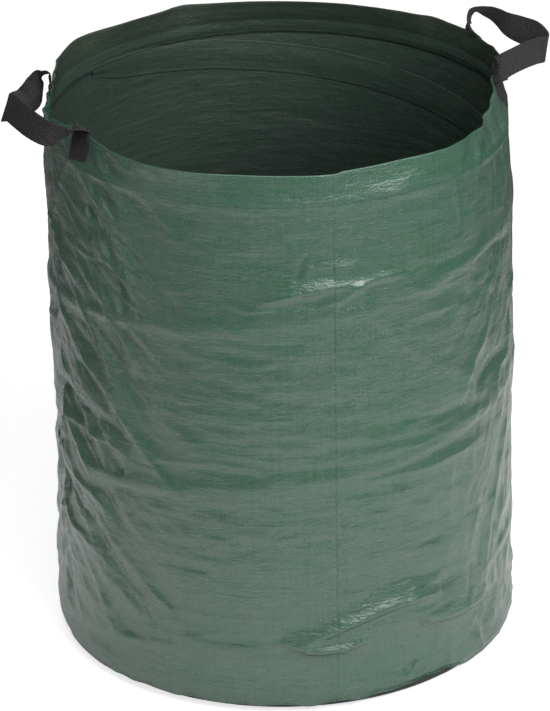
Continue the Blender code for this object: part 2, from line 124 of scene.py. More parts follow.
# Folds seen in the photo: height in mm, reach above and below in mm, then the crest's (angle, height in mm).
FOLDS = [
    (12, 15, 7, ((256.2, 114), (263.7, 131), (271.4, 147), (279.5, 157), (286.7, 160), (294.7, 158))),
    (13, 28, 11, ((282.3, 151), (291.4, 119), (300.1, 112), (310.8, 111), (321.6, 110))),
    (10, 12, 7, ((251.8, 121), (258.7, 105), (266.2, 103), (274, 110))),
    (-3, 8, 8, ((270.1, 173), (275.4, 188), (283.8, 197), (294.7, 187))),
    (8, 12, 7, ((246.4, 653), (253.7, 666), (259.7, 673), (265.8, 676), (273.3, 673))),
    (6, 10, 6, ((262.1, 650), (267, 656), (270.3, 666), (273.9, 677), (278.6, 681), (284.7, 677))),
    (2, 5, 4, ((265.3, 703), (268.8, 706), (272.3, 706))),
    (2, 5, 4, ((283.1, 669), (287.1, 671), (292.6, 671))),
    (-4, 9, 9, ((293.9, 677), (302, 671), (314.1, 660), (330.3, 641))),
    (-4, 8, 10, ((276.3, 381), (291.5, 388), (304, 394), (316.3, 399))),
    (3, 8, 10, ((279.6, 367), (294.8, 363), (312.7, 368))),
    (-6, 11, 11, ((307.7, 450), (315.9, 469), (326.3, 472))),
    (3, 5, 5, ((308.2, 850), (309.5, 821), (308.6, 783), (306.4, 740))),
    (3, 5, 5, ((312.9, 850), (315.6, 823), (320.5, 760))),
    (3, 5, 5, ((315.2, 810), (316.9, 743), (313.6, 646))),
    (3, 5, 5, ((323.2, 830), (327.6, 740), (330.4, 685))),
    (2, 4, 4, ((302, 831), (302.4, 774), (301.6, 750), (302.6, 710))),
    (1.5, 4, 4, ((298, 815), (300.1, 779), (301.6, 730))),
    (3, 5, 5, ((322.6, 766), (323.9, 707), (319.8, 628))),
    (4, 9, 8, ((317.5, 580), (314.2, 534), (306.9, 496), (302.3, 440))),
    (4, 7, 7, ((331.2, 521), (327.2, 464), (320.4, 447), (318.8, 395))),
    (1.5, 3, 3, ((309.5, 719), (322.3, 706), (331.1, 695))),
    (-5, 9, 9, ((170.8, 427), (188.8, 424), (197.4, 416), (205.5, 414), (213.3, 399))),
    (5, 13, 10, ((187.7, 515), (198, 486), (204.3, 463), (211.8, 412))),
    (5, 6, 7, ((172.8, 388), (191.2, 385), (201.5, 385), (211.6, 380))),
    (1.2, 3, 3, ((208.6, 380), (216.4, 382), (223.8, 391), (234.5, 396))),
    (-5, 11, 10, ((201.4, 392), (205.2, 361), (208.7, 336), (211.6, 285))),
    (5, 7, 8, ((176.6, 360), (184, 307), (196.4, 293), (206.7, 273))),
    (-5, 7, 7, ((176.7, 306), (183.6, 277), (191, 255), (197.6, 248))),
    (4, 7, 8, ((175.2, 229), (189.4, 210), (199.1, 203))),
    (2.5, 4, 4, ((212, 396), (209.7, 338), (211.5, 287))),
    (1.5, 3, 3, ((196.4, 815), (193.9, 770), (197, 744))),
    (3, 6, 6, ((188.9, 800), (182.6, 737), (177.9, 675), (182.3, 645))),
    (4, 6, 7, ((170.6, 680), (178.8, 668), (182.7, 643), (192.9, 618))),
    (2, 4, 4, ((184.7, 674), (194.9, 671), (202.7, 672), (209.2, 682))),
    (2, 6, 5, ((191.1, 748), (196.8, 730), (203.1, 726))),
    (3, 14, 14, ((194.6, 805), (203.2, 750), (210, 685), (217.1, 623))),
    (4, 10, 10, ((175.5, 621), (181.4, 561), (191.8, 510))),
    (-3, 14, 14, ((202, 730), (209, 637), (212, 564), (220.6, 502))),
    (1, 3, 3, ((213, 825), (216.2, 838), (220, 840), (223.8, 830))),
    (1.5, 4, 3, ((214.4, 673), (219.2, 663), (223.5, 659), (231.3, 664))),
    (2, 5, 4, ((238.1, 657), (244, 643), (250, 646), (254.6, 641))),
    (1, 3, 3, ((237.3, 625), (240.2, 612), (242.9, 600))),
    (-1.2, 3, 3, ((224.6, 478), (233.3, 487))),
    (1, 3, 3, ((224.9, 427), (233.6, 428))),
    (-1.2, 3, 3, ((225, 226), (233.7, 227))),
    (-1.5, 4, 4, ((287.3, 246), (295.7, 241))),
    (-2, 4, 4, ((260.1, 740), (258.1, 718), (255.8, 688))),
    (1.5, 4, 4, ((262.5, 728), (259.8, 709), (257, 688))),
    (0.7, 6, 6, ((255.1, 795), (255.1, 661), (255, 454))),
    (0.6, 6, 6, ((261.5, 622), (261.6, 503), (261.6, 367))),
]
FOLDS = [(*sizes, [(a, z / 1000) for a, z in crest]) for *sizes, crest in FOLDS]
# The unseen back gets the same folds again: how far they are turned and raised, and their share of height.
BACK_COPIES = ((171, -0.012, 0.5), (100, 0.021, 0.3))


def smooth(low, high, value):
    share = np.clip((value - low) / (high - low), 0, 1)
    return share * share * (3 - 2 * share)


def turned(angle, other):
    """The turn from other to angle, from -180 to 180 degrees."""
    return (angle - other + 180) % 360 - 180


def by_angle(table, angle):
    """A smooth periodic curve through (angle, value) pairs."""
    pairs = sorted((a % 360, v) for a, v in table)
    at = np.array([a for a, _ in pairs])
    value = np.array([v for _, v in pairs])
    at = np.concatenate([[at[-2] - 360, at[-1] - 360], at, [at[0] + 360, at[1] + 360]])
    value = np.concatenate([value[-2:], value, value[:2]])
    slope = (value[2:] - value[:-2]) / (at[2:] - at[:-2])
    slope = np.concatenate([[0], slope, [0]])
    x = np.asarray(angle, float) % 360
    i = np.clip(np.searchsorted(at, x, side="right") - 1, 1, len(at) - 3)
    h = at[i + 1] - at[i]
    t = (x - at[i]) / h
    return (
        (1 + 2 * t) * (1 - t) ** 2 * value[i] + t * (1 - t) ** 2 * h * slope[i]
        + t * t * (3 - 2 * t) * value[i + 1] + t * t * (t - 1) * h * slope[i + 1]
    )


def curve_through(controls, steps):
    """A smooth curve through rows of numbers, with steps between neighbours."""
    c = np.asarray(controls, float)
    padded = np.vstack([2 * c[0] - c[1], c, 2 * c[-1] - c[-2]])
    made = []
    for k in range(len(c) - 1):
        p, q, r, s = padded[k:k + 4]
        square, cube = 2 * p - 5 * q + 4 * r - s, 3 * q - p - 3 * r + s
        for t in np.arange(steps) / steps:
            made.append((2 * q + (r - p) * t + square * t * t + cube * t ** 3) / 2)
    return np.array([*made, c[-1]])


def coil_heights(angle):
    """The heights at which the coil passes each angle, lowest first."""
    turn = (np.asarray(angle, float) - COIL_FIRST) % 360
    return [COIL_LOW + COIL_CLIMB * (turn + 360 * k) for k in range(3)]


def add_fold(out, fold, turn=0.0, rise=0.0, share=1.0, fine=4):
    """Adds one fold to the grid out. Its crest runs through its points and its height fades at both ends."""
    tall, above, below, points = fold
    line = np.array([(math.radians(a + turn) * RADIUS, z + rise) for a, z in points])
    spots = curve_through(line, fine)
    reach = 3.6 * max(above, below) / 1000
    left, low = np.floor((spots.min(0) - reach) / (GRID_S, GRID_Z))
    right, high = np.ceil((spots.max(0) + reach) / (GRID_S, GRID_Z))
    low, high = max(int(low), 0), min(int(high), len(GRID_HEIGHTS) - 1)
    if high <= low:
        return
    columns = np.arange(int(left), int(right) + 1)
    rows = np.arange(low, high + 1)
    best = np.full((len(rows), len(columns)), 1e9)
    side, along = np.zeros(best.shape), np.zeros(best.shape)
    lengths = np.linalg.norm(np.diff(spots, axis=0), axis=1)
    start = np.concatenate([[0], np.cumsum(lengths)])
    for k, length in enumerate(lengths):
        p, q = spots[k], spots[k + 1]
        c0, c1 = np.searchsorted(columns * GRID_S, (min(p[0], q[0]) - reach, max(p[0], q[0]) + reach))
        r0, r1 = np.searchsorted(rows * GRID_Z, (min(p[1], q[1]) - reach, max(p[1], q[1]) + reach))
        if c1 <= c0 or r1 <= r0:
            continue
        px, py = columns[None, c0:c1] * GRID_S - p[0], rows[r0:r1, None] * GRID_Z - p[1]
        dx, dy = (q - p) / length
        t = np.clip((px * dx + py * dy) / length, 0, 1)
        gap = np.hypot(px - t * length * dx, py - t * length * dy)
        closer = gap < best[r0:r1, c0:c1]
        best[r0:r1, c0:c1][closer] = gap[closer]
        side[r0:r1, c0:c1][closer] = (dx * py - dy * px)[closer]
        along[r0:r1, c0:c1][closer] = ((start[k] + t * length) / start[-1])[closer]
    width = np.where(side >= 0, above, below) / 1000
    crest = np.exp(-((best / width) ** 2 + 0.01) ** 0.65)
    ends = np.sqrt(np.clip(np.sin(math.pi * np.clip(along, 0, 1)), 0, 1))
    np.add.at(out, (rows[:, None], columns[None, :] % GRID_COLUMNS), tall / 1000 * share * crest * ends)


def random_folds(count, seed, angles, heights, tilt, tilt_spread, size, reach, length):
    """Short curved folds strewn over a patch, in the form of FOLDS. tilt 0 is level and 90 is upright."""
    rng = np.random.default_rng(seed)
    made = []
    for _ in range(count):
        a, z = rng.uniform(*angles), rng.uniform(*heights)
        lean = math.radians(rng.normal(tilt, tilt_spread))
        long = rng.uniform(*length)
        bend = rng.normal(0, 0.12)
        tall = rng.uniform(*size) * rng.choice([1, 1, -1])
        wide = rng.uniform(*reach)
        points = []
        for t in (-0.5, -0.17, 0.17, 0.5):
            across = bend * (0.25 - t * t) * long
            s = t * long * math.cos(lean) - across * math.sin(lean)
            up = t * long * math.sin(lean) + across * math.cos(lean)
            points.append((a + math.degrees(s / RADIUS), z + up))
        made.append((tall, wide, wide * rng.uniform(0.6, 1.4), tuple(points)))
    return made


# Count, seed, angles, heights, tilt and its spread, then the ranges of height and reach in mm and of length.
SMALL_FOLDS = [fold for patch in (
    (150, 3, (0, 360), (0.06, 0.78), 0, 16, (0.3, 0.9), (4, 9), (0.04, 0.12)),
    (70, 5, (175, 212), (0.10, 0.76), -42, 28, (0.5, 1.7), (4, 8), (0.03, 0.09)),
    (75, 7, (298, 352), (0.10, 0.80), 55, 35, (0.5, 1.7), (4, 8), (0.03, 0.09)),
    (60, 9, (352, 380), (0.10, 0.80), 75, 30, (0.5, 1.8), (4, 8), (0.03, 0.10)),
    (60, 11, (150, 182), (0.10, 0.80), 80, 30, (0.5, 1.8), (4, 8), (0.03, 0.10)),
    (60, 13, (20, 150), (0.06, 0.78), 15, 30, (0.4, 1.4), (4, 9), (0.03, 0.10)),
    (40, 15, (0, 360), (0.012, 0.05), 70, 40, (0.6, 1.6), (4, 7), (0.02, 0.05)),
    (30, 17, (283, 350), (0.015, 0.10), 55, 35, (1.2, 3.0), (5, 9), (0.03, 0.07)),
) for fold in random_folds(*patch)]


def rumple(seed, across, up, lean=0.0):
    """Smooth seeded noise on the grid with a spread of 1, its size in metres, turned by lean degrees."""
    size = (len(GRID_HEIGHTS), GRID_COLUMNS)
    rough = np.fft.rfft2(np.random.default_rng(seed).standard_normal(size))
    fz = np.fft.fftfreq(len(GRID_HEIGHTS), GRID_Z)[:, None]
    fs = np.fft.rfftfreq(GRID_COLUMNS, GRID_S)[None, :]
    c, d = math.cos(math.radians(lean)), math.sin(math.radians(lean))
    fa, fb = fs * c + fz * d, fz * c - fs * d
    soft = np.fft.irfft2(rough * np.exp(-4 * ((fa * across) ** 2 + (fb * up) ** 2)), size)
    return soft / soft.std()


def creased(noise):
    """Turns smooth noise into flat facets that meet in sharp creases."""
    return 0.8 - 1.6 * np.sqrt(np.abs(noise) ** 2 + 0.003) / 1.2


def window(angle, middle, flat, fade):
    """1 within flat degrees of the middle, and 0 past flat and fade."""
    return 1 - smooth(flat, flat + fade, np.abs(turned(angle, middle)))


# The sheet stands out over each wire by RIDGE_OUT, in a ridge this wide. Inward folds end at HELD from it.
RIDGE, RIDGE_OUT, HELD = 0.016, 0.0024, 0.010
# The whole sheet lies this far outside the round.
SHEET_OUT = 0.0004


def shape_grid():
    """How far the sheet stands out from the round wall, in metres, at each height and angle of the grid."""
    angle, height = np.meshgrid(GRID_ANGLES, GRID_HEIGHTS)
    out = np.zeros(angle.shape)
    for a, z, wide, tall, mm in SWELLS:
        out += mm / 1000 * np.exp(-(turned(angle, a) / wide) ** 2 - ((height - z) / tall) ** 2)
    folds = np.zeros(angle.shape)
    for fold in FOLDS:
        for turn, rise, share in BACK_COPIES:
            add_fold(folds, fold, turn, rise, share)
    for fold in SMALL_FOLDS:
        add_fold(folds, fold, fine=2)
    # The upper back, which shows inside through the mouth, is drawn smoother.
    upper_back = window(angle, 80, 60, 25) * smooth(0.42, 0.58, height)
    folds *= 1 - 0.75 * upper_back
    for fold in FOLDS:
        add_fold(folds, fold)
    # Level bands where the sheet was folded flat, and crumples that fan out below the handles.
    calm = 0.45 + 0.55 * smooth(0.75, 0.2, height)
    bands = 0.42 * rumple(21, 0.07, 0.014) + 0.16 * rumple(22, 0.04, 0.007) + 0.34 * rumple(27, 0.022, 0.016)
    bands *= smooth(-1.2, 1.6, rumple(20, 0.12, 0.08)) * 1.4
    crumple = window(angle, 0, 34, 34) + window(angle, 180, 26, 30)
    uneven = 0.45 + 0.55 * smooth(-0.6, 0.8, rumple(29, 0.09, 0.12))
    crumple = np.clip(crumple, 0, 1) * smooth(0.02, 0.10, height) * uneven
    from_right = turned(angle, 0)
    inland = np.minimum(np.abs(from_right), 90) * np.sign(from_right) * np.sign(np.cos(np.radians(angle)))
    rightward = smooth(6, -6, inland)
    fan = 0
    for share, lean, seed in ((rightward, 60, 40), (1 - rightward, -44, 50)):
        fan = fan + share * (
            3.0 * creased(rumple(seed, 0.170, 0.034, lean))
            + 1.2 * creased(rumple(seed + 1, 0.075, 0.015, lean + 12))
            + 0.45 * creased(rumple(seed + 2, 0.032, 0.008, lean - 15))
        )
    plain = 0.6 * creased(rumple(25, 0.060, 0.018)) * smooth(-0.4, 1.2, rumple(26, 0.12, 0.05))
    fine = bands * calm * (1 - 0.6 * crumple) + fan * crumple + plain * (1 - crumple)
    folds += fine * (1 - 0.7 * upper_back) / 1000
    # The coil and the hoops hold the sheet out, so no fold goes in there.
    ridge, held = np.zeros(angle.shape), np.zeros(angle.shape)
    for z in [*coil_heights(angle), np.full(angle.shape, RIM_HOOP_Z), np.full(angle.shape, BASE_HOOP_Z)]:
        ridge = np.maximum(ridge, np.exp(-((height - z) / RIDGE) ** 2))
        held = np.maximum(held, np.exp(-((height - z) / HELD) ** 4))
    folds = np.where(folds < 0, folds * (1 - held), folds * (1 - 0.15 * held))
    return out + folds + RIDGE_OUT * ridge + SHEET_OUT


GRID_COLUMNS = 1440
GRID_ANGLES = np.arange(GRID_COLUMNS) * 360 / GRID_COLUMNS
GRID_S = 2 * math.pi * RADIUS / GRID_COLUMNS
GRID_Z = 0.0015
GRID_HEIGHTS = np.arange(0, 0.9, GRID_Z)
SHAPE = shape_grid()


def field(angle, height):
    """SHAPE at any angle and height."""
    angle, height = np.broadcast_arrays(angle, height)
    x = (angle % 360) * GRID_COLUMNS / 360
    y = np.clip(height / GRID_Z, 0, len(GRID_HEIGHTS) - 1.001)
    i, j = np.floor(x).astype(int) % GRID_COLUMNS, np.floor(y).astype(int)
    fx, fy = x - np.floor(x), y - j
    k = (i + 1) % GRID_COLUMNS
    lower, upper = (SHAPE[row, i] * (1 - fx) + SHAPE[row, k] * fx for row in (j, j + 1))
    return lower * (1 - fy) + upper * fy


# Below LOWEST the shape stays as it is there, and it fades out from the upper to the lower height of FADE.
LOWEST = 0.012
FADE = (-0.01, 0.03)


def faded(angle, z):
    """field with its folds fading out towards the floor."""
    return field(angle, np.maximum(z, LOWEST)) * smooth(*FADE, z)


def around(radius, angle, z):
    """Points from their distance to the axis, their angle and their height."""
    a = np.radians(angle)
    return np.stack([radius * np.cos(a), radius * np.sin(a), z], -1)


def place(angle, height, off=0.0):
    """The point of the sheet at an angle and height, with the mouth's lean and sag above the hem's edge."""
    out = field(angle, height) + off
    share = np.clip((height - HEM_EDGE) / (RIM_TOP - HEM_EDGE), 0, 1.15)
    out = out + by_angle(RIM_OUT, angle) / 1000 * share ** 1.25
    return around(RADIUS + out, angle, height + by_angle(RIM_SAG, angle) / 1000 * share)


def unit(vectors):
    return vectors / np.linalg.norm(vectors, axis=-1, keepdims=True)


def outward_of(points):
    """The level direction away from the axis at each point."""
    return unit(points * (1, 1, 0))


def lengths_along(line):
    """How far each point of a line is from its first, along it."""
    return np.concatenate([[0], np.cumsum(np.linalg.norm(np.diff(line, axis=0), axis=1))])


def linked(name, data):
    """An object of the scene."""
    obj = bpy.data.objects.new(name, data)
    bpy.context.scene.collection.objects.link(obj)
    return obj


def mesh_piece(name, points, faces, uvs, materials, smooth_faces=True, slots=0):
    """A mesh object. faces is a list of arrays of faces, and uvs has one (u, v) in metres for each corner."""
    sides = np.concatenate([np.full(len(part), part.shape[1], np.int32) for part in faces])
    corners = np.concatenate([part.ravel() for part in faces]).astype(np.int32)
    mesh = bpy.data.meshes.new(name)
    mesh.vertices.add(len(points))
    mesh.vertices.foreach_set("co", np.asarray(points, np.float32).ravel())
    mesh.loops.add(len(corners))
    mesh.loops.foreach_set("vertex_index", corners)
    mesh.polygons.add(len(sides))
    mesh.polygons.foreach_set("loop_start", np.cumsum(sides, dtype=np.int32) - sides)
    mesh.polygons.foreach_set("loop_total", sides)
    mesh.update(calc_edges=True)
    mesh.polygons.foreach_set("use_smooth", np.full(len(sides), smooth_faces))
    mesh.uv_layers.new(name="cloth").data.foreach_set("uv", np.asarray(uvs, np.float32).ravel())
    for material in materials:
        mesh.materials.append(material)
    mesh.polygons.foreach_set("material_index", np.full(len(sides), slots, np.int32))
    mesh.validate()
    return linked(name, mesh)


def fit(obj, body, node, squashed=False):
    """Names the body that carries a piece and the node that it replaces."""
    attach(obj, body)
    if squashed:
        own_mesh(obj)
    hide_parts(node)


# The corners of a face in the other order, from the same first one.
FLIPPED = [0, 3, 2, 1]


def cells(grid):
    """The four corners of each cell of a grid, row by row."""
    corners = [grid[:-1, :-1], grid[:-1, 1:], grid[1:, 1:], grid[1:, :-1]]
    return np.stack(corners, 2).reshape(-1, 4, *grid.shape[2:])


def wrapped(grid):
    """The grid with its first column again after its last."""
    return np.concatenate([grid, grid[:, :1]], 1)


def ring_fill(ring):
    """Faces that fill a ring of vertices from side to side."""
    k = np.arange(len(ring) // 2 - 1)
    return np.stack([ring[k], ring[k + 1], ring[-2 - k], ring[-1 - k]], -1)


def sheet_piece(name, outer, inner, u, v, material, inside):
    """A closed sheet between two grids of points. u runs along the rows and v up them, in metres."""
    count = outer[..., 0].size
    index = np.arange(count).reshape(outer.shape[:2])
    uv = np.stack(np.broadcast_arrays(u, v), -1)
    quads, quad_uv = cells(index), cells(uv)
    faces, uvs = [quads, quads[:, ::-1] + count], [quad_uv, quad_uv[:, ::-1]]
    for line, spots, flip in (
        (index[0], uv[0], False), (index[-1], uv[-1], True),
        (index[:, 0], uv[:, 0], True), (index[:, -1], uv[:, -1], False),
    ):
        a, b = (line + count, line) if flip else (line, line + count)
        faces.append(np.stack([a[:-1], b[:-1], b[1:], a[1:]], -1))
        uvs.append(np.stack([spots[:-1], spots[:-1], spots[1:], spots[1:]], 1))
    points = np.concatenate([outer.reshape(-1, 3), inner.reshape(-1, 3)])
    order = np.arange(sum(len(part) for part in faces))
    # The cut edges are flat, so that they don't bend the shading of the sheet's faces.
    return mesh_piece(
        name, points, faces, np.concatenate(uvs), [material, inside], smooth_faces=order < 2 * len(quads),
        slots=(order >= len(quads)) & (order < 2 * len(quads)),
    )


def tube_piece(name, paths, radius, sides, material, closed=False, flat=1.0, rounded=False):
    """One object of tubes along paths of points. A closed one's end joins its start, and flat flattens it."""
    points, faces, uvs = [], [], []
    ring = (np.arange(sides) * 2 * math.pi / sides)[None, :, None]
    tip = 0.5 if rounded else 0.025
    base = 0
    for path in paths:
        ahead = unit(np.roll(path, -1, 0) - np.roll(path, 1, 0) if closed else np.gradient(path, axis=0))
        outward = outward_of(path)
        outward = unit(outward - ahead * (outward * ahead).sum(1)[:, None])
        side = np.cross(ahead, outward)
        section = np.cos(ring) * outward[:, None] * flat + np.sin(ring) * side[:, None]
        points.append((path[:, None] + radius * section).reshape(-1, 3))
        index = wrapped(np.arange(base, base + len(path) * sides).reshape(-1, sides))
        along = lengths_along(path)
        base += len(path) * sides
        if closed:
            index = np.concatenate([index, index[:1]])
            along = np.append(along, along[-1] + along[1])
        faces.append(cells(index))
        round_it = np.arange(sides + 1) * radius
        uvs.append(cells(np.stack(np.meshgrid(along, round_it, indexing="ij"), -1)).reshape(-1, 2))
        for end, way in () if closed else ((0, -1), (-1, 1)):
            points.append(path[[end]] + ahead[[end]] * radius * way * tip)
            pair = [index[end, :-1], index[end, 1:]]
            faces.append(np.stack([np.full(sides, base), *pair[::way]], -1))
            uvs.append(np.zeros((3 * sides, 2)))
            base += 1
    return mesh_piece(name, np.concatenate(points), faces, np.concatenate(uvs), [material])


# Where along a stitch its points lie, and how far they stand out, in shares of its length and thickness.
STITCH_AT = np.array([0, 0.18, 0.5, 0.82, 1])
STITCH_OUT = np.array([-0.9, 0.1, 0.35, 0.1, -0.9])


def stitches(spots, outward, pitch, share, thick):
    """Short threads with sunk ends along a line of points, one for each pitch of its length."""
    along = lengths_along(spots)
    paths = []
    for k in range(int(along[-1] / pitch)):
        at = (k + 0.5 - share / 2) * pitch + STITCH_AT * share * pitch
        line, out = (
            np.stack([np.interp(at, along, rows[:, i]) for i in range(3)], -1) for rows in (spots, outward)
        )
        paths.append(line + out * (STITCH_OUT * thick)[:, None])
    return paths


class Nodes:
    """Adds shader nodes to an emptied node tree."""

    def __init__(self, tree):
        self.tree = tree
        tree.nodes.clear()

    def put(self, socket, value):
        """Links a node's output to a socket, or sets the socket to a plain value."""
        if isinstance(value, bpy.types.NodeSocket):
            self.tree.links.new(value, socket)
        else:
            socket.default_value = value

    def add(self, kind, *values, **named):
        """A node with its first inputs filled in. A name with a capital is an input, any other a setting."""
        node = self.tree.nodes.new("ShaderNode" + kind)
        for key, value in named.items():
            if key[0].isupper():
                self.put(node.inputs[key], value)
            else:
                setattr(node, key, value)
        for socket, value in zip(node.inputs, values):
            self.put(socket, value)
        return node

    def math(self, operation, *values, clamp=False):
        return self.add("Math", *values, operation=operation, use_clamp=clamp).outputs[0]

    def times(self, one, other):
        return self.math("MULTIPLY", one, other)

    def plus(self, one, other):
        return self.math("ADD", one, other)

    def minus(self, one, other):
        return self.math("SUBTRACT", one, other)

    def plus_each(self, total, *pairs):
        """total plus each value times its amount."""
        for value, amount in pairs:
            total = self.math("MULTIPLY_ADD", value, amount, total)
        return total

    def ramp(self, value, low, high, to_low=0.0, to_high=1.0, form="LINEAR"):
        """From to_low to to_high as the value goes from low to high."""
        return self.add("MapRange", value, low, high, to_low, to_high, interpolation_type=form).outputs[0]


class Shader(Nodes):
    """The nodes of one material of a piece. Its u and v run along the cloth, in metres."""

    def __init__(self, name):
        self.material = bpy.data.materials.new(name)
        self.material.use_nodes = True
        super().__init__(self.material.node_tree)
        self.surface = self.add("BsdfPrincipled")
        self.add("OutputMaterial", self.surface.outputs[0])
        cloth = self.add("UVMap", uv_map="cloth").outputs[0]
        self.u, self.v = self.add("SeparateXYZ", cloth).outputs[:2]

    def finished(self, **values):
        """The material, with inputs of its surface set. An underscore in a name stands for a space."""
        for key, value in values.items():
            self.put(self.surface.inputs[key.replace("_", " ")], value)
        return self.material

    def noise(self, across, up, shift=0.0, detail=2.0, rough=0.6, distortion=0.0, form="FBM"):
        """Noise with so many waves to a metre across and up the cloth. shift sets it apart from others."""
        where = self.add("CombineXYZ", self.times(self.u, across), self.times(self.v, up), shift).outputs[0]
        return self.add(
            "TexNoise", noise_type=form, normalize=True, Vector=where, Scale=1.0, Detail=detail,
            Roughness=rough, Distortion=distortion,
        ).outputs[0]

    def random(self, value):
        """A random number for each value, less a half."""
        return self.less_half(self.add("TexWhiteNoise", noise_dimensions="1D", W=value).outputs[0])

    def less_half(self, value):
        return self.minus(value, 0.5)

    def bumps(self, *layers):
        """The normal raised by each (height, distance) in turn."""
        below = {}
        for height, distance in layers:
            node = self.add("Bump", Strength=1.0, Distance=distance, Height=height, **below)
            below = {"Normal": node.outputs[0]}
        return below["Normal"]

    def mixed(self, share, one, other):
        """From one colour to the other as share goes from 0 to 1."""
        node = self.add("Mix", data_type="RGBA", Factor=share)
        for socket, colour in zip([i for i in node.inputs if i.type == "RGBA"], (one, other)):
            socket.default_value = (*colour, 1)
        return next(o for o in node.outputs if o.type == "RGBA")

    def tinted(self, colour, factor):
        """colour times a varying factor."""
        return self.add("VectorMath", colour, operation="SCALE", Scale=factor).outputs[0]


TAPE = 0.0027


def woven_film(name, green, painted_sheen, roughness, shine, coat, contrast=1.0):
    """Laminated cloth of flat plastic tapes: a fine grid, uneven tapes, painted grey sheen in patches,
    crinkles.
    """
    s = Shader(name)
    a, b = s.math("DIVIDE", s.u, TAPE), s.math("DIVIDE", s.v, TAPE)
    ia, ib = s.math("FLOOR", a), s.math("FLOOR", b)
    # Neighbouring tapes pass over and under each other, and each is highest along its middle.
    over = s.math("MODULO", s.math("ABSOLUTE", s.plus(ia, ib)), 2.0)
    under = s.minus(1.0, over)
    lift_a, lift_b = (
        s.ramp(s.math("ABSOLUTE", s.less_half(s.minus(value, whole))), 0.30, 0.50, 1.0, 0.0, "SMOOTHSTEP")
        for value, whole in ((a, ia), (b, ib))
    )
    weave = s.plus(s.times(lift_a, over), s.times(lift_b, under))
    tapes = s.plus(s.times(s.random(ia), over), s.times(s.random(s.plus(ib, 911.5)), under))
    streak_up = s.noise(340, 16)
    streak_level = s.noise(14, 320, 7.0)
    bands = s.noise(5, 48, 3.0, 3.0, 0.55)
    patches = s.noise(7, 6, 5.0, 3.0)
    cloudy = s.noise(34, 60, 13.0, 4.0, 0.65, distortion=0.6)
    grain = s.noise(330, 420, 9.0, 2.0, 0.65)
    dashes = s.ramp(s.noise(430, 34, 21.0, 1.0, 0.5), 0.66, 0.74, form="SMOOTHSTEP")
    dash = s.times(dashes, s.ramp(patches, 0.42, 0.60, form="SMOOTHSTEP"))
    # A grey sheen mixed in by patches, clouds, bands, streaks and grain: painted reflection of the film's
    # coat, not a tone of the film.
    painted_sheen_share = s.plus_each(0.42, *((s.less_half(value), amount * contrast) for value, amount in (
        (patches, 1.3), (cloudy, 1.7), (bands, 0.9), (streak_up, 1.1), (streak_level, 1.1), (grain, 0.8),
    )))
    factor = s.plus_each(1.0, *((value, amount * contrast) for value, amount in (
        (tapes, 0.22), (s.minus(weave, 0.7), 0.14), (s.less_half(grain), 0.5), (dash, -0.6),
    )))
    colour = s.mixed(s.math("ADD", painted_sheen_share, 0.0, clamp=True), green, painted_sheen)
    rough = s.plus_each(roughness, (s.less_half(patches), 0.30), (s.less_half(streak_level), 0.20))
    crinkle = s.noise(60, 120, 1.0, 3.0, form="RIDGED_MULTIFRACTAL")
    soft = s.noise(26, 60, 11.0, 3.0)
    return s.finished(
        Base_Color=s.tinted(colour, factor), Roughness=rough, Specular_IOR_Level=shine,
        Coat_Weight=coat, Coat_Roughness=0.08,
        Normal=s.bumps((bands, 0.0022), (soft, 0.0022), (crinkle, 0.0004), (grain, 0.0007), (weave, 0.00014)),
    )


TWILL = 0.0046


def webbing(name):
    """Black twill webbing, u along it and v across."""
    s = Shader(name)
    along, across = s.math("DIVIDE", s.u, TWILL), s.math("DIVIDE", s.v, TWILL)
    slants = s.plus(along, across), s.minus(along, across)
    twill, counter = (s.math("SINE", s.times(slant, 2 * math.pi)) for slant in slants)
    knot = s.times(s.plus(twill, s.times(counter, 0.6)), 0.62)
    fibre, worn = s.noise(620, 760), s.noise(30, 40, 0.0, 3.0)
    factor = s.plus_each(1.1, (knot, 1.15), (s.less_half(fibre), 1.7), (s.less_half(worn), 0.5))
    return s.finished(
        Base_Color=s.tinted((0.0270, 0.0245, 0.0255), s.math("MAXIMUM", factor, 0.1)), Roughness=0.74,
        Specular_IOR_Level=0.3, Sheen_Weight=0.06, Sheen_Roughness=0.45,
        Normal=s.bumps((knot, 0.0009), (fibre, 0.0004)),
    )


def thread(name, colour):
    """Twisted thread, u along it and v round it."""
    s = Shader(name)
    twist = s.math("SINE", s.plus_each(s.times(s.v, 2500), (s.u, 2 * math.pi / 0.0007)))
    return s.finished(
        Base_Color=s.tinted(colour, s.plus_each(1.0, (twist, 0.18))), Roughness=0.85, Specular_IOR_Level=0.15,
        Normal=s.bumps((twist, 0.00008)),
    )


def metal(name, colour, roughness):
    """Drawn metal with fine lines along it."""
    s = Shader(name)
    drawn = s.noise(35, 2500, 0.0, 3.0)
    uneven = s.less_half(drawn)
    return s.finished(
        Base_Color=s.tinted(colour, s.plus_each(1.0, (uneven, 0.35))), Metallic=1.0,
        Roughness=s.plus_each(roughness, (uneven, 0.2)), Normal=s.bumps((drawn, 0.00003)),
    )


# Each film's green, the greyer green of its painted sheen, its roughness, shine and coat, and how uneven it
# is.
OUTSIDE = woven_film("woven_film_green", (0.024, 0.102, 0.056), (0.053, 0.114, 0.080), 0.24, 0.95, 0.28)
HEM = woven_film("woven_film_hem", (0.024, 0.104, 0.057), (0.053, 0.115, 0.081), 0.24, 0.95, 0.28)
INSIDE = woven_film("woven_film_inside", (0.030, 0.053, 0.041), (0.038, 0.057, 0.046), 0.50, 0.35, 0.05, 0.6)
HEM_INSIDE = woven_film(
    "woven_film_hem_inside", (0.030, 0.049, 0.033), (0.036, 0.052, 0.038), 0.46, 0.35, 0.05, 0.8
)
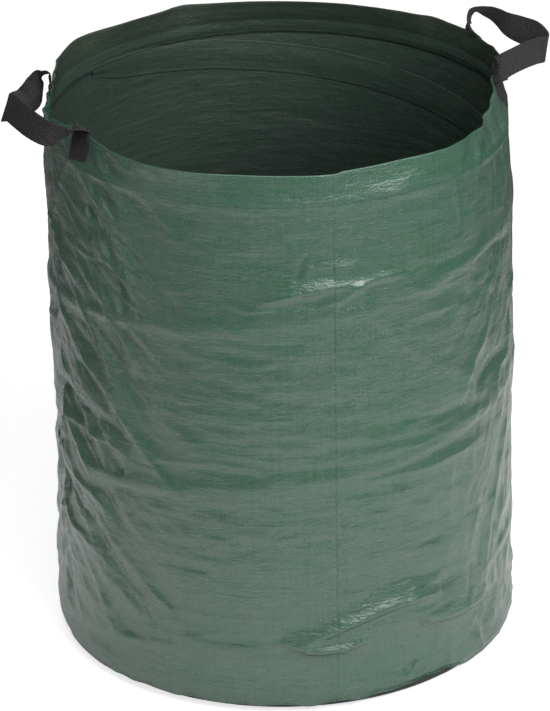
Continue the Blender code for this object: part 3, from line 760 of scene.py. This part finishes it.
# The bottom's film is painted near black: painted shade for the contact shadow where the bag stands on the
# floor.
BOTTOM_FILM_PAINTED_SHADE = woven_film("woven_film_bottom_painted_shade", (0.012, 0.022, 0.018), (0.026, 0.034, 0.031), 0.50, 0.22, 0.0)
BLACK = webbing("webbing_black")
GREEN_THREAD = thread("thread_green", (0.046, 0.112, 0.076))
# This thread is painted dark: painted shade for the shadowed groove along the bottom seam.
SHADED_GREEN_THREAD = thread("thread_green_painted_shade", (0.013, 0.030, 0.022))
BLACK_THREAD = thread("thread_black", (0.03, 0.03, 0.032))
STEEL = metal("spring_steel", (0.42, 0.43, 0.44), 0.3)
ZINC = metal("zinc_steel", (0.62, 0.63, 0.64), 0.36)

# The sheet starts on top of the lap, where its edge shows, goes once round and ends under its start.
LAP_DEG = math.degrees(LAP / RADIUS)
SEAM_END = SEAM_EDGE + 360 + LAP_DEG
column_angle = np.concatenate([
    [SEAM_EDGE],
    np.linspace(SEAM_EDGE + 0.03, SEAM_END - 0.03, int(math.radians(360 + LAP_DEG) * RADIUS / COLUMN) + 1),
    [SEAM_END],
])
column_count = len(column_angle)
past_seam = column_angle - SEAM_EDGE
column_u = np.radians(past_seam) * RADIUS
lap_out = -LAP_SUNK * (1 - smooth(0.0, 1.1, past_seam)) - LAP_STEP * smooth(356.5, 360.0, past_seam)


def wall_grid(heights, off):
    angle, height = np.meshgrid(column_angle, heights)
    return place(angle, height, off + lap_out[None, :])


# A row or column close to each cut edge keeps the shading even up to it.
wall_rows = np.concatenate([
    [WALL_FOOT],
    np.linspace(WALL_FOOT + NEAR_EDGE, HEM_EDGE - NEAR_EDGE, int((HEM_EDGE - WALL_FOOT) / ROW) + 1),
    [HEM_EDGE],
])
wall = sheet_piece(
    "bag_wall", wall_grid(wall_rows, 0.0), wall_grid(wall_rows, -SHEET),
    column_u[None, :], wall_rows[:, None], OUTSIDE, INSIDE,
)
fit(wall, "base", "wall_panel", squashed=True)

# How far the wall's foot turns in round the bottom's corner, in degrees of the corner, by angle.
LIP_TURN = [
    (0, 38), (30, 44), (60, 36), (90, 46), (120, 38), (150, 45), (180, 38), (200, 36), (214, 29), (222, 34),
    (230, 28), (238, 34), (245, 29), (252, 34), (258, 27), (264, 31), (270, 27), (274, 21), (279, 14),
    (284, 9), (290, 2), (296, 4), (300, 14), (304, 28), (309, 33), (316, 27), (322, 36), (332, 30),
    (345, 42),
]
FOOT_ROWS = 9
# The foot's cut edge stands off the bottom by this much.
LIP_OFF = 0.0022
straight = np.append(np.linspace(CORNER, WALL_FOOT - NEAR_EDGE, 4)[1:], WALL_FOOT)


def lip_turn(angle):
    """How far the foot turns in at each angle, in radians, with small waves and scallops near the seam."""
    wavy = 2.2 * np.sin(np.radians(angle * 31 + 20)) + 1.6 * np.sin(np.radians(angle * 53 + 70))
    wavy = wavy + 9.0 * np.sin(np.radians(angle * 24)) * window(angle, 260, 8, 6)
    return np.radians(by_angle(LIP_TURN, angle) + wavy)


def foot_grid(off):
    share = np.linspace(1, 0, FOOT_ROWS)[:, None]
    turn = lip_turn(column_angle)[None, :] * share
    z = CORNER - (CORNER + off) * np.sin(turn)
    inward = (CORNER + off) * (1 - np.cos(turn)) - off
    z = np.concatenate([z, np.broadcast_to(straight[:, None], (len(straight), column_count))])
    inward = np.concatenate([inward, np.full((len(straight), column_count), -off)])
    inward -= LIP_OFF * np.concatenate([share, np.zeros((len(straight), 1))]) ** 5
    angle = np.broadcast_to(column_angle, z.shape)
    return around(RADIUS + (faded(angle, z) - inward + lap_out[None, :]), angle, z)


foot_v = np.concatenate([CORNER - np.linspace(0.7, 0, FOOT_ROWS) * CORNER, straight])
foot = sheet_piece(
    "bag_wall_foot", foot_grid(0.0), foot_grid(-SHEET), column_u[None, :], foot_v[:, None], OUTSIDE, INSIDE
)
fit(foot, "base", "wall_panel")

# The bottom: a disc with a rounded edge that goes up inside the wall.
FLAT_EDGE = RADIUS - CORNER
disc_angle = np.arange(360) * 1.0
flat_radii = np.concatenate([[0.004], np.linspace(0.02, FLAT_EDGE, 44)])
corner_turn = np.radians(np.linspace(0, 90, 12))[1:]
SKIRT_TOP = 0.0435
skirt = np.linspace(CORNER, SKIRT_TOP, 5)[1:]
# How far the bottom keeps off the wall, how far its corner draws in, and the height of its waves.
BOTTOM_GAP = 0.0012
CORNER_IN = 0.0026
BOTTOM_WAVE = 0.0012


def bottom_grid(thick):
    """thick is 0 for the lower face and the sheet's thickness for the upper one."""
    tuck = BOTTOM_GAP + thick
    corner_height = CORNER * (1 - np.cos(corner_turn))
    drawn_in = CORNER_IN * smooth(CORNER, 0.006, corner_height)
    arc_r = FLAT_EDGE + (CORNER - tuck) * np.sin(corner_turn) - drawn_in
    arc_z = CORNER - (CORNER - thick) * np.cos(corner_turn)
    r = np.concatenate([flat_radii, arc_r, np.full(len(skirt), RADIUS - tuck)])
    z = np.concatenate([np.full(len(flat_radii), thick), arc_z, skirt])
    angle, radius = np.meshgrid(disc_angle, r)
    height = np.broadcast_to(z[:, None], angle.shape).copy()
    # Low waves between the middle and the corner.
    height += BOTTOM_WAVE * (
        np.sin(np.radians(angle * 3) + radius * 22) * 0.5
        + np.sin(np.radians(angle * 7 + 30) - radius * 31) * 0.3
        + np.sin(np.radians(angle * 2 + 100) + radius * 51) * 0.4 + 1.2
    ) * smooth(0.0, 0.10, radius) * (1 - smooth(FLAT_EDGE - 0.03, FLAT_EDGE, radius))
    fade = smooth(*FADE, height) * smooth(FLAT_EDGE, RADIUS - 0.4 * CORNER, radius)
    return around(radius + field(angle, np.maximum(height, LOWEST)) * fade, angle, height)


def disc_piece(name, lower, upper, material, inside):
    """A closed disc between two grids of rings, with a small fill in the middle of each."""
    index = np.arange(lower[..., 0].size).reshape(lower.shape[:2])
    count = index.size
    quads, caps = cells(wrapped(index)), ring_fill(index[0])
    edge = wrapped(index)[-1]
    rim = np.stack([edge[:-1], edge[1:], edge[1:] + count, edge[:-1] + count], -1)
    faces = [np.roll(quads, -1, 1), quads[:, FLIPPED] + count, rim, caps[:, ::-1], caps + count]
    sizes = [len(part) for part in faces]
    spots = np.concatenate([lower[..., :2].reshape(-1, 2)] * 2)
    points = np.concatenate([lower.reshape(-1, 3), upper.reshape(-1, 3)])
    return mesh_piece(
        name, points, faces, spots[np.concatenate(faces)], [material, inside],
        smooth_faces=np.repeat([1, 1, 0, 1, 1], sizes) == 1, slots=np.repeat([0, 1, 0, 0, 1], sizes),
    )


bottom = disc_piece("bag_bottom", bottom_grid(0.0), bottom_grid(SHEET), BOTTOM_FILM_PAINTED_SHADE, INSIDE)
fit(bottom, "base", "bottom_panel")

# The hem: up outside, over a full round fold, and down inside to its tail.
hem_up = np.append(HEM_EDGE, np.linspace(HEM_EDGE + NEAR_EDGE, RIM_TOP - HEM_FOLD, 13))
hem_down = np.linspace(RIM_TOP - HEM_FOLD, HEM_TAIL, 13)
fold_turn = np.radians(np.linspace(0, 180, 9))[1:-1]


def hem_grid(off):
    """Rows run up the outside and down the inside. off is negative for the sheet's inner face."""
    half = HEM_GAP / 2
    over, inwards = (half + off) * np.sin(fold_turn), (half + off) * np.cos(fold_turn)
    z = np.concatenate([hem_up, RIM_TOP - HEM_FOLD + over, hem_down])
    out = np.concatenate([np.full(len(hem_up), off), -half + inwards, np.full(len(hem_down), -HEM_GAP - off)])
    angle, height = np.meshgrid(column_angle, z)
    seam = lap_out[None, :] * np.where(out > -half, 1, -0.6)[:, None]
    return place(angle, height, out[:, None] + seam)


HEM_THICK = 0.0007
hem_outer, hem_inner = hem_grid(0.0), hem_grid(-HEM_THICK)
hem_run = lengths_along(hem_outer[:, 0]) + HEM_EDGE
hem = sheet_piece("rim_hem_band", hem_outer, hem_inner, column_u[None, :], hem_run[:, None], HEM, HEM_INSIDE)
fit(hem, "rim", "rim_hem")
# The layer that is turned in shows the darker inside, but for a stretch at the left, which keeps the lighter
# outside green as painted light where it faces the lamps.
LIT_STRETCH_MIDDLE, LIT_STRETCH_HALF = 178.5, 14
hem_slots = np.zeros(len(hem.data.polygons), np.int32)
hem.data.polygons.foreach_get("material_index", hem_slots)
inside_from = (len(hem_up) + len(fold_turn) // 2 + 1) * (column_count - 1)
turned_in = hem_slots[inside_from:(hem_outer.shape[0] - 1) * (column_count - 1)].reshape(-1, column_count - 1)
turned_in[:, np.abs(turned(column_angle[:-1], LIT_STRETCH_MIDDLE)) > LIT_STRETCH_HALF] = 1
hem.data.polygons.foreach_set("material_index", hem_slots)

# Threads.
HEM_SEAM_Z = 0.8022
ring_angle = np.arange(0, 360.5, 0.5)


def thread_piece(name, lines, thick, material, body, node, pitch=0.0042, share=0.72, squashed=False):
    """Stitches along lines of points, one for each pitch, a share of it long."""
    paths = [path for line in lines for path in stitches(line, outward_of(line), pitch, share, thick)]
    fit(tube_piece(name, paths, thick, 6, material, rounded=True), body, node, squashed)


hem_line = place(ring_angle, np.full(len(ring_angle), HEM_SEAM_Z), 0.0001)
thread_piece("hem_stitching", [hem_line], 0.00017, GREEN_THREAD, "rim", "hem_seam_thread")

row_z = np.arange(0.040, 0.794, 0.003)
# Both rows lie on the lap, this far behind its edge.
for side, behind in (("left", 0.005), ("right", 0.018)):
    line = place(np.full(len(row_z), SEAM_EDGE + math.degrees(behind / RADIUS)), row_z, 0.0)
    thread_piece(
        f"side_seam_stitching_{side}", [line], 0.00016, GREEN_THREAD, "base",
        f"side_seam_thread_{side}", squashed=True,
    )


def foot_line(below, off):
    """A ring on the wall's turned-in foot, a few degrees of its corner short of its edge."""
    t = lip_turn(ring_angle) - math.radians(below)
    z = CORNER - (CORNER + off) * np.sin(t)
    return around(RADIUS + faded(ring_angle, z) - (CORNER + off) * (1 - np.cos(t)) + off, ring_angle, z)


thread_piece(
    "bottom_stitching", [foot_line(7, 0.0004)], 0.00024, SHADED_GREEN_THREAD, "base",
    "bottom_seam_thread",
)


# Wires, their tunnels, ferrules and crimps follow the inner face of the sheet.
def wire_piece(
    name, angles, heights, radius, material, slot, body, node, depth=WIRE_DEPTH, sides=12, squashed=False,
    **tube,
):
    """A wire or clamp along angles and heights, its middle at a depth behind the sheet's outer face."""
    path = place(angles, np.broadcast_to(heights, angles.shape), -depth)
    fit(tube_piece(name, [path], radius, sides, material, **tube), body, node, squashed)


def bell(across, half):
    """The section of a strip drawn over a wire, from 1 over the wire to 0 at half its width."""
    return np.cos(math.pi / 2 * np.clip(across / half, -1, 1)) ** 1.6


def tunnel_piece(
    name, angles, heights, up_share, arch, flange, body, node, coil_height=None, below=1.0, squashed=False
):
    """A strip of sheet drawn over a wire, its two flanges on the sheet's inner face. up_share is the wire's
    slope, and below is the share of its width that its lower half keeps. With coil_height it also covers the
    coil's end beside the hoop, and stands further in over the ferrule and the crimp."""
    across = np.concatenate([[-arch - flange], np.linspace(-arch, arch, 17), [arch + flange]])
    cos = 1 / math.hypot(1, up_share)
    # The coil's tunnel narrows where it goes under a hoop's tunnel.
    from_end = np.minimum(angles - angles[0], angles[-1] - angles)
    narrow = 1.0 if coil_height is not None else 1 - 0.5 * smooth(14, 0, from_end)
    faces = []
    for face in (0.0, SHEET):
        rows = []
        for x in across:
            reach = x * narrow * (below if x < 0 else 1)
            rise = np.full(len(angles), bell(x, arch))
            if coil_height is not None:
                rise = np.maximum(rise, bell(heights + x - coil_height, COIL_ARCH) * (abs(x) < arch))
                rise = rise * (1 + 0.8 * window(angles, 150, 9, 9) * (abs(x) < arch))
            shift = -np.degrees(reach * up_share * cos / RADIUS)
            depth = TUNNEL_OFF + TUNNEL_RISE * rise + face
            rows.append(place(angles + shift, heights + reach * cos, -depth))
        faces.append(np.array(rows))
    u = np.radians(angles - angles[0]) * RADIUS
    obj = sheet_piece(name, *faces, u[None, :], across[:, None], INSIDE, INSIDE)
    fit(obj, body, node, squashed)


coil_angles = np.arange(COIL_FIRST - 10, COIL_FIRST + 1080.1, 1.0)
coil_z = COIL_LOW + (COIL_HIGH - COIL_LOW) * np.clip((coil_angles - COIL_FIRST) / COIL_TURN, 0, 1)
wire_piece(
    "coil_wire", coil_angles, coil_z, WIRE, STEEL, "spring_steel", "base", "coil_spring", squashed=True
)
# The tunnel ends short of the hoops.
COVERED = (0.044, 0.7925)
covered = (coil_z > COVERED[0]) & (coil_z < COVERED[1])
coil_slope = (COIL_HIGH - COIL_LOW) / (math.radians(COIL_TURN) * RADIUS)
tunnel_piece(
    "coil_tunnel", coil_angles[covered], coil_z[covered], coil_slope, COIL_ARCH, 0.0020,
    "base", "coil_sleeve", squashed=True,
)

hoop_angles = np.arange(0, 360, 1.0)
run = np.arange(205.0, 205.0 + 360.1, 1.0)
# Where the coil's ends lie beside the hoops, by the angle along run. 999 m is nowhere near.
coil_low_end = COIL_LOW + COIL_CLIMB * np.where(run > 500, run - 510, 999)
coil_high_end = np.where((run > 460) & (run < 512), COIL_HIGH + COIL_CLIMB * np.minimum(run - 500, 0), 999)
for kind, z, closing, arch, beside in (
    ("base", BASE_HOOP_Z, 135.0, BASE_HOOP_ARCH, coil_low_end),
    ("rim", RIM_HOOP_Z, 155.0, RIM_HOOP_ARCH, coil_high_end),
):
    wire_piece(
        f"{kind}_hoop_wire", hoop_angles, z, WIRE, STEEL, "spring_steel", kind, f"{kind}_hoop", closed=True
    )
    tunnel_piece(
        f"{kind}_hoop_tunnel", run, np.full(len(run), z), 0.0, arch, 0.0012, kind, f"{kind}_hoop_sleeve",
        coil_height=beside, below=0.6,
    )
    wire_piece(
        f"{kind}_hoop_crimped_ferrule", np.linspace(closing - 2.1, closing + 2.1, 7), z, FERRULE, ZINC,
        "zinc_steel", kind, f"{kind}_hoop_ferrule", depth=CLAMP_DEPTH, sides=16,
    )
for kind, z, body in (
    ("lower", (BASE_HOOP_Z + COIL_LOW) / 2, "base"), ("upper", (RIM_HOOP_Z + COIL_HIGH) / 2, "rim")
):
    wire_piece(
        f"coil_{kind}_wire_crimp", np.linspace(143.0, 147.0, 7), z, CRIMP, ZINC, "zinc_steel", body,
        f"coil_{kind}_crimp", depth=CLAMP_DEPTH, sides=18, flat=0.62,
    )

# Webbing: its width and thickness, and how far out and up each loop's hinge line lies.
WEB = 0.040
WEB_THICK = 0.0018
HINGE_X = 0.32327
HINGE_Z = 0.8563


def strap_piece(name, middle, across):
    """A flat band with rounded edges. middle and across have one row for each section."""
    ahead = unit(np.gradient(middle, axis=0))
    across = unit(across - ahead * (across * ahead).sum(1)[:, None])
    normal = np.cross(ahead, across)
    half, thick = WEB / 2, WEB_THICK / 2
    level = np.linspace(-1, 1, 9) * (half - thick)
    edge = np.array([(half - thick * 0.3, thick * 0.7), (half, 0), (half - thick * 0.3, -thick * 0.7)])
    section = np.array([*((x, thick) for x in level), *edge, *((x, -thick) for x in level[::-1]), *-edge])
    rings = middle[:, None] + across[:, None] * section[None, :, :1] + normal[:, None] * section[None, :, 1:]
    index = np.arange(rings[..., 0].size).reshape(rings.shape[:2])
    along = lengths_along(middle)
    uv = np.stack(np.meshgrid(along, section[:, 0], indexing="ij"), -1)
    caps = [ring_fill(index[0]), ring_fill(index[-1])[:, ::-1]]
    cap_uv = [np.broadcast_to((along[end], 0), (len(caps[0]), 4, 2)) for end in (0, -1)]
    return mesh_piece(
        name, rings.reshape(-1, 3), [cells(wrapped(index))[:, FLIPPED], *caps],
        np.concatenate([cells(wrapped(uv))[:, FLIPPED], *cap_uv]), [BLACK],
    )


# The middle of each loop: out from the hinge line, along it and up, in mm, then its width's direction.
RIGHT_LOOP = [
    (-1, 97, 6, -0.40, -0.81, 0.43), (2, 104, 17, -0.36, -0.78, 0.51), (8, 104, 24, -0.44, -0.76, 0.48),
    (18, 99, 24, -0.29, -0.72, 0.63), (29, 93, 21, -0.21, -0.62, 0.76), (39, 82, 16, -0.07, -0.47, 0.88),
    (48, 68, 10, 0.10, -0.25, 0.96), (63, 50, 6, 0.30, 0.05, 0.95), (76, 24, 6, 0.28, 0.05, 0.96),
    (80, -12, 0, 0.18, 0.10, 0.98), (58, -35, 7, 0.18, 0.22, 0.96), (34, -55, 12, 0.10, 0.22, 0.97),
    (10, -72, 13, 0.04, 0.14, 0.99), (-8, -83, 12, 0.06, 0.22, 0.97), (-19, -88, 9, 0.14, 0.52, 0.84),
]
LEFT_LOOP = [
    (-9, 100, 7, 0.17, -0.92, 0.35), (-8, 103, 13, 0.31, -0.84, 0.45), (1, 106, 12, 0.27, -0.81, 0.51),
    (7, 105, 8, 0.48, -0.57, 0.66), (13, 101, -1, 0.64, -0.31, 0.70), (19, 94, -9, 0.70, -0.04, 0.71),
    (27, 87, -16, 0.65, 0.40, 0.65), (39, 74, -16, 0.42, 0.48, 0.77), (57, 57, -12, 0.06, 0.33, 0.94),
    (74, 38, -6, -0.36, 0.16, 0.92), (74, 16, 5, -0.35, 0.24, 0.90), (69, -14, 5, -0.35, 0.19, 0.92),
    (64, -44, 5, -0.34, 0.16, 0.93), (56, -68, 3, -0.26, 0.07, 0.96), (45, -82, -1, -0.17, -0.16, 0.97),
    (32, -85, -4, -0.12, -0.43, 0.89), (20, -82, -4, -0.06, -0.72, 0.69), (8, -82, -2, 0.03, -0.88, 0.48),
]
# Where the middle of each sewn end shows on the hem: the handle's back end, then its front end.
SEWN = {"right": (16.5, -13.4), "left": (163.5, 194.0)}
# Heights at which each strap's ends lie on the hem, in the order of its rows.
BACK_ROWS = (0.8380, 0.8460)
FRONT_ROWS = (0.8525, 0.8440)


def sewn_rows(centre, side, heights, across_sign):
    """Loop rows for a strap's own end, flat on the hem inside its patch."""
    rows = []
    a = math.radians(centre)
    across = np.array([-math.sin(a) * side, math.cos(a), 0]) * across_sign
    for z in heights:
        spot = place(np.array([centre]), np.array([z]), 0.0014)[0]
        local = (spot - (side * HINGE_X, 0, HINGE_Z)) * (side, 1, 1) * 1000
        rows.append((*local, *across))
    return rows


for name, controls, side in (("right", RIGHT_LOOP, 1), ("left", LEFT_LOOP, -1)):
    back_end, front_end = SEWN[name]
    full = (
        sewn_rows(back_end, side, BACK_ROWS, -side) + controls + sewn_rows(front_end, side, FRONT_ROWS, 1)
    )
    route = curve_through(full, 7)
    middle = route[:, :3] / 1000 * (side, 1, 1) + (side * HINGE_X, 0, HINGE_Z)
    strap = strap_piece(f"{name}_handle_strap", middle, route[:, 3:] * (side, 1, 1))
    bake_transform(strap)
    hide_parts(f"{name}_handle")


# A patch's lower and upper edge, and how much further up the right side of the left handle's front one is.
PATCH_Z = (0.8085, 0.8490)
PATCH_LEAN = 0.009
# A stitched box's half width, lower and upper edge.
BOX_HALF = 0.014
BOX_Z = (0.8135, 0.8430)


def from_edge(count):
    """How many steps each of count rows is from the nearer edge, and a little more."""
    return np.minimum(np.arange(count), count - 1 - np.arange(count)) + 0.35


def end_patch(name, centre, node, lean):
    """The sewn end of a strap, lying on the hem. lean is how much higher its one side is than its other."""
    wide = math.degrees(WEB / RADIUS)
    angles = np.linspace(centre - wide / 2, centre + wide / 2, 15)
    heights = np.linspace(*PATCH_Z, 17)
    angle, height = np.meshgrid(angles, heights)
    height = height + lean * (angle - centre) / wide
    edge = np.minimum(1, np.minimum(from_edge(15)[None, :], from_edge(17)[:, None]))
    outer = place(angle, height, 0.0004 + 0.0016 * edge)
    inner = place(angle, height, np.full(angle.shape, 0.0003))
    u = np.radians(angles - centre) * RADIUS
    obj = sheet_piece(name, outer, inner, heights[:, None], u[None, :], BLACK, BLACK)
    fit(obj, "rim", node)


def box_stitch(name, centre, node):
    """A sewn box with both its diagonals."""
    half = math.degrees(BOX_HALF / RADIUS)
    low, high = BOX_Z
    box = [(-half, low), (half, low), (half, high), (-half, high)]
    corners = [*box, box[0], box[2], box[3], box[1]]
    t = np.linspace(0, 1, 24)
    lines = [
        place(centre + a + (b - a) * t, z + (w - z) * t, 0.0021)
        for (a, z), (b, w) in zip(corners[:-1], corners[1:])
    ]
    thread_piece(name, lines, 0.00035, BLACK_THREAD, "rim", node, pitch=0.0034, share=0.75)


for hand, ends in SEWN.items():
    for end, centre in zip(("back", "front"), ends):
        lean = PATCH_LEAN if (hand, end) == ("left", "front") else 0.0
        end_patch(f"{hand}_handle_{end}_patch", centre, f"{hand}_handle_{end}_end", lean)
        box_stitch(f"{hand}_handle_{end}_sewing", centre, f"{hand}_handle_{end}_stitching")

# Floor. A white sheet lies under the bag, and the floor past it is darker to every ray but the camera's.
FLOOR_HALF, FLOOR_Z = 14.0, -0.0006
floor_material = bpy.data.materials.new("floor_white")
floor_material.use_nodes = True
n = Nodes(floor_material.node_tree)
rays = n.add("LightPath").outputs
spot = n.add("NewGeometry").outputs["Position"]
far = n.add("VectorMath", spot, operation="LENGTH").outputs["Value"]
diffuse = n.add("BsdfDiffuse", n.ramp(far, 1.0, 1.9, 0.84, 0.12))
to_camera = n.times(n.ramp(far, 1.0, 1.6, 0.75, 1.0), rays["Is Camera Ray"])
# To glossy rays the floor glows, though it is no lamp, and less right under the bag: painted light and
# painted shadow for the film to reflect.
mirrored = n.times(n.ramp(far, 0.75, 1.5, 0.44, 0.08), n.ramp(far, 0.33, 0.45, 0.2, 1.0))
glow = n.add("Emission", Strength=n.plus_each(to_camera, (mirrored, rays["Is Glossy Ray"])))
n.add("OutputMaterial", n.add("AddShader", diffuse.outputs[0], glow.outputs[0]).outputs[0])
corners = np.array([(-1, -1), (1, -1), (1, 1), (-1, 1)]) * FLOOR_HALF
floor_points = np.column_stack([corners, np.full(4, FLOOR_Z)])
mesh_piece("floor", floor_points, [np.array([[0, 1, 2, 3]])], corners, [floor_material], False)

# The studio is pale behind the bag, and darker in front of it, to the left and above. The camera sees white.
world = bpy.data.worlds.new("studio")
bpy.context.scene.world = world
world.use_nodes = True
n = Nodes(world.node_tree)
is_camera = n.add("LightPath").outputs["Is Camera Ray"]
x, y, z = n.add("SeparateXYZ", n.add("TexCoord").outputs["Generated"]).outputs
level = n.times(n.ramp(y, -0.45, 0.35, 0.13, 0.34), n.ramp(x, -0.9, 0.4, 0.55, 1.0))
fall = n.times(level, n.ramp(z, 0.15, 0.75, 1.0, 0.35))
sky = n.add("Background", (1.0, 1.0, 1.0, 1), n.ramp(is_camera, 0.0, 1.0, fall, 1.0))
n.add("OutputWorld", sky.outputs[0])


def direction(azimuth, elevation):
    """The way from the bag to a spot, its azimuth counted as the views' are."""
    a, e = math.radians(azimuth), math.radians(elevation)
    return Vector((math.sin(a) * math.cos(e), -math.cos(a) * math.cos(e), math.sin(e)))


def aimed(name, data, target, way, distance, roll=0.0):
    """A lamp or camera at a distance from its target, looking at it."""
    obj = linked(name, data)
    obj.location = Vector(target) + way * distance
    obj.rotation_mode = "QUATERNION"
    obj.rotation_quaternion = (-way).to_track_quat("-Z", "Y") @ Quaternion((0, 0, 1), math.radians(-roll))
    return obj


# Lamps: azimuth, elevation, distance, width, height and power.
for name, azimuth, elevation, distance, width, height, power in (
    ("key_right", 20, 30, 2.8, 2.4, 0.50, 54), ("front_top", -12, 54, 2.8, 2.2, 0.9, 30),
    ("fill_left", -80, 12, 2.8, 0.8, 1.6, 6), ("top", 0, 84, 2.6, 1.6, 1.6, 12),
):
    data = bpy.data.lights.new(name, "AREA")
    data.shape = "RECTANGLE"
    data.size, data.size_y = width, height
    data.energy = power
    aimed(name, data, (0, 0, 0.45), direction(azimuth, elevation), distance)

# The photo's camera, its focal length and shifts in the photo's pixels.
AZIMUTH, ELEVATION, DISTANCE, ROLL = -17.0, 25.18, 9.0, 0.78
FOCAL_PX, LONG_SIDE = 6129.7, 711.0
SENSOR = 36
data = bpy.data.cameras.new("camera")
data.sensor_width = SENSOR
data.lens = FOCAL_PX / LONG_SIDE * SENSOR
data.shift_x, data.shift_y = -8.0 / LONG_SIDE, -1.6 / LONG_SIDE
data.clip_end = 60
camera = aimed("camera", data, (0, 0, 0.42), direction(AZIMUTH, ELEVATION), DISTANCE, ROLL)
bpy.context.scene.camera = camera
bpy.context.scene.view_settings.view_transform = "Standard"
